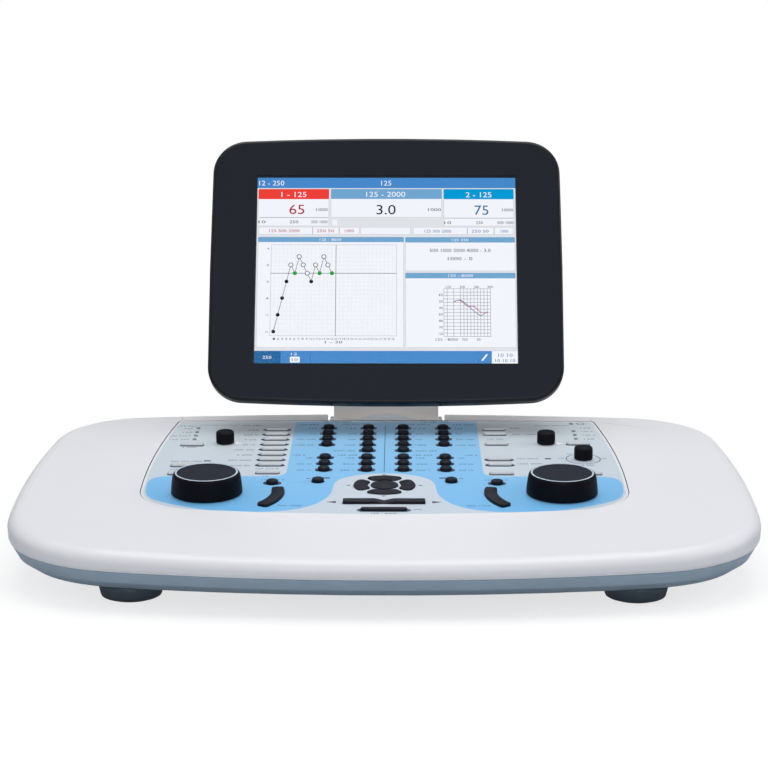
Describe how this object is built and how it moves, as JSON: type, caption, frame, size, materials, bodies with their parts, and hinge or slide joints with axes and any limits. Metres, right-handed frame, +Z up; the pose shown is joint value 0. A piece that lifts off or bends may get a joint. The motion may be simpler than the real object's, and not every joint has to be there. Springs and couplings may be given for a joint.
{
  "type": "desktop audiometer",
  "caption": "Wide white console with level dials and rows of keys on a sloped blue and grey panel, carrying a tilting flat display on a neck at the back.",
  "frame": {"origin": "on the table, under the middle of the whole object", "axes": "+X to the operator's right, +Y to the back, +Z up"},
  "size_m": [0.5358, 0.4226, 0.3018],
  "materials": {
    "white_shell": "satin moulded plastic, cool white",
    "blue_grey_shell": "satin moulded plastic, blue grey",
    "foot_plastic": "matte moulded plastic, dark blue grey",
    "foot_rubber": "matte rubber",
    "panel_film": "printed film, light grey with sky blue areas",
    "zinc_steel": "zinc plated",
    "shaft_steel": "turned steel",
    "circuit_board": "green solder mask",
    "mat_silicone": "translucent silicone",
    "clear_lens": "clear moulded light guides",
    "led_lens": "small indicator lamps, unlit",
    "control_body": "blue moulded rotary control bodies",
    "plate_steel": "painted steel plate",
    "socket_black": "black moulded sockets",
    "display_gloss": "satin blue-black plastic",
    "display_shell": "fine textured blue-black plastic",
    "window_glass": "clear window",
    "lcd_case": "flat panel in a metal frame",
    "neck_grey": "warm grey satin paint",
    "dial_black": "matte black with a thin pale ring",
    "knob_black": "fine knurled black",
    "key_pale": "satin light grey",
    "key_black": "satin black"
  },
  "bodies": {
    "base": {"top_shell": "white_shell", "bottom_shell": "blue_grey_shell", "control_panel": "panel_film", "hinge_cover": "white_shell", "feet": "foot_plastic", "foot_pads": "foot_rubber", "case_screws": "zinc_steel", "main_board": "circuit_board", "keypad_board": "circuit_board", "keypad_mat": "mat_silicone", "light_pipes": "clear_lens", "indicator_leds": "led_lens", "dial_encoders": "control_body", "volume_controls": "control_body", "hinge_brackets": "zinc_steel", "connector_plate": "plate_steel", "audio_jacks": "socket_black", "power_inlet": "socket_black", "usb_ports": "zinc_steel", "monitor_speaker": "socket_black"},
    "display": {"display_bezel": "display_gloss", "display_back": "display_shell", "screen_glass": "window_glass", "lcd_module": "lcd_case", "display_board": "circuit_board", "display_screws": "zinc_steel", "neck": "neck_grey", "hinge_shaft": "shaft_steel"},
    "left_dial": {"left_dial": "dial_black", "left_dial_shaft": "shaft_steel"},
    "right_dial": {"right_dial": "dial_black", "right_dial_shaft": "shaft_steel"},
    "left_volume": {"left_volume_knob": "knob_black", "left_volume_shaft": "shaft_steel"},
    "right_volume": {"right_volume_knob": "knob_black", "right_volume_shaft": "shaft_steel"},
    "monitor_volume": {"monitor_knob": "knob_black", "monitor_shaft": "shaft_steel"},
    "frequency_rocker": {"frequency_rocker": "key_black"},
    "selector_keys_1": {"selector_keys_1": "key_black"},
    "selector_keys_2": {"selector_keys_2": "key_black"},
    "selector_keys_3": {"selector_keys_3": "key_black"},
    "selector_keys_4": {"selector_keys_4": "key_black"},
    "left_test_keys": {"left_test_keys": "key_pale"},
    "left_option_keys": {"left_option_keys": "key_pale"},
    "right_test_keys": {"right_test_keys": "key_pale"},
    "right_option_keys": {"right_option_keys": "key_pale"},
    "left_interrupt_key": {"left_interrupt_key": "key_black"},
    "right_interrupt_key": {"right_interrupt_key": "key_black"},
    "left_tracking_key": {"left_tracking_key": "key_black"},
    "right_tracking_key": {"right_tracking_key": "key_black"},
    "left_present_bar": {"left_present_bar": "key_black"},
    "right_present_bar": {"right_present_bar": "key_black"},
    "nav_up": {"nav_up": "key_black"},
    "nav_down": {"nav_down": "key_black"},
    "nav_left": {"nav_left": "key_black"},
    "nav_right": {"nav_right": "key_black"},
    "nav_enter": {"nav_enter": "key_black"},
    "store_bar": {"store_bar": "key_black"}
  },
  "joints": [
    {"name": "display_tilt", "type": "hinge", "parent": "base", "child": "display", "pos_m": [0, 0.14672, 0.067], "axis": [1, 0, 0], "range_deg": [-32, 8]},
    {"name": "left_dial_turn", "type": "hinge", "parent": "base", "child": "left_dial", "pos_m": [-0.1284, -0.0604, 0.05359], "axis": [0, -0.1028, 0.9947], "continuous": true},
    {"name": "right_dial_turn", "type": "hinge", "parent": "base", "child": "right_dial", "pos_m": [0.1284, -0.0604, 0.05359], "axis": [0, -0.1028, 0.9947], "continuous": true},
    {"name": "left_volume_turn", "type": "hinge", "parent": "base", "child": "left_volume", "pos_m": [-0.126, 0.06822, 0.06688], "axis": [0, -0.1028, 0.9947], "range_deg": [-150, 150]},
    {"name": "right_volume_turn", "type": "hinge", "parent": "base", "child": "right_volume", "pos_m": [0.126, 0.06822, 0.06688], "axis": [0, -0.1028, 0.9947], "range_deg": [-150, 150]},
    {"name": "monitor_volume_turn", "type": "hinge", "parent": "base", "child": "monitor_volume", "pos_m": [0.1515, 0.02614, 0.06253], "axis": [0, -0.1028, 0.9947], "range_deg": [-150, 150]},
    {"name": "selector_keys_1_press", "type": "slide", "parent": "base", "child": "selector_keys_1", "axis": [0, 0.1028, -0.9947], "range_m": [0, 0.0008], "stiffness_N_per_m": 500},
    {"name": "selector_keys_2_press", "type": "slide", "parent": "base", "child": "selector_keys_2", "axis": [0, 0.1028, -0.9947], "range_m": [0, 0.0008], "stiffness_N_per_m": 500},
    {"name": "selector_keys_3_press", "type": "slide", "parent": "base", "child": "selector_keys_3", "axis": [0, 0.1028, -0.9947], "range_m": [0, 0.0008], "stiffness_N_per_m": 500},
    {"name": "selector_keys_4_press", "type": "slide", "parent": "base", "child": "selector_keys_4", "axis": [0, 0.1028, -0.9947], "range_m": [0, 0.0008], "stiffness_N_per_m": 500},
    {"name": "left_test_keys_press", "type": "slide", "parent": "base", "child": "left_test_keys", "axis": [0, 0.1028, -0.9947], "range_m": [0, 0.0008], "stiffness_N_per_m": 500},
    {"name": "left_option_keys_press", "type": "slide", "parent": "base", "child": "left_option_keys", "axis": [0, 0.1028, -0.9947], "range_m": [0, 0.0008], "stiffness_N_per_m": 500},
    {"name": "right_test_keys_press", "type": "slide", "parent": "base", "child": "right_test_keys", "axis": [0, 0.1028, -0.9947], "range_m": [0, 0.0008], "stiffness_N_per_m": 500},
    {"name": "right_option_keys_press", "type": "slide", "parent": "base", "child": "right_option_keys", "axis": [0, 0.1028, -0.9947], "range_m": [0, 0.0008], "stiffness_N_per_m": 500},
    {"name": "left_interrupt_key_press", "type": "slide", "parent": "base", "child": "left_interrupt_key", "axis": [0, 0.1028, -0.9947], "range_m": [0, 0.0008], "stiffness_N_per_m": 500},
    {"name": "right_interrupt_key_press", "type": "slide", "parent": "base", "child": "right_interrupt_key", "axis": [0, 0.1028, -0.9947], "range_m": [0, 0.0008], "stiffness_N_per_m": 500},
    {"name": "left_tracking_key_press", "type": "slide", "parent": "base", "child": "left_tracking_key", "axis": [0, 0.1028, -0.9947], "range_m": [0, 0.0008], "stiffness_N_per_m": 500},
    {"name": "right_tracking_key_press", "type": "slide", "parent": "base", "child": "right_tracking_key", "axis": [0, 0.1028, -0.9947], "range_m": [0, 0.0008], "stiffness_N_per_m": 500},
    {"name": "left_present_bar_press", "type": "slide", "parent": "base", "child": "left_present_bar", "axis": [0, 0.1028, -0.9947], "range_m": [0, 0.0008], "stiffness_N_per_m": 500},
    {"name": "right_present_bar_press", "type": "slide", "parent": "base", "child": "right_present_bar", "axis": [0, 0.1028, -0.9947], "range_m": [0, 0.0008], "stiffness_N_per_m": 500},
    {"name": "nav_up_press", "type": "slide", "parent": "base", "child": "nav_up", "axis": [0, 0.1028, -0.9947], "range_m": [0, 0.0008], "stiffness_N_per_m": 500},
    {"name": "nav_down_press", "type": "slide", "parent": "base", "child": "nav_down", "axis": [0, 0.1028, -0.9947], "range_m": [0, 0.0008], "stiffness_N_per_m": 500},
    {"name": "nav_left_press", "type": "slide", "parent": "base", "child": "nav_left", "axis": [0, 0.1028, -0.9947], "range_m": [0, 0.0008], "stiffness_N_per_m": 500},
    {"name": "nav_right_press", "type": "slide", "parent": "base", "child": "nav_right", "axis": [0, 0.1028, -0.9947], "range_m": [0, 0.0008], "stiffness_N_per_m": 500},
    {"name": "nav_enter_press", "type": "slide", "parent": "base", "child": "nav_enter", "axis": [0, 0.1028, -0.9947], "range_m": [0, 0.0008], "stiffness_N_per_m": 500},
    {"name": "store_bar_press", "type": "slide", "parent": "base", "child": "store_bar", "axis": [0, 0.1028, -0.9947], "range_m": [0, 0.0008], "stiffness_N_per_m": 500},
    {"name": "frequency_rock", "type": "hinge", "parent": "base", "child": "frequency_rocker", "pos_m": [0, -0.08098, 0.04744], "axis": [0, 0.9947, 0.1028], "range_deg": [-2.5, 2.5], "stiffness_Nm_per_rad": 0.6}
  ]
}
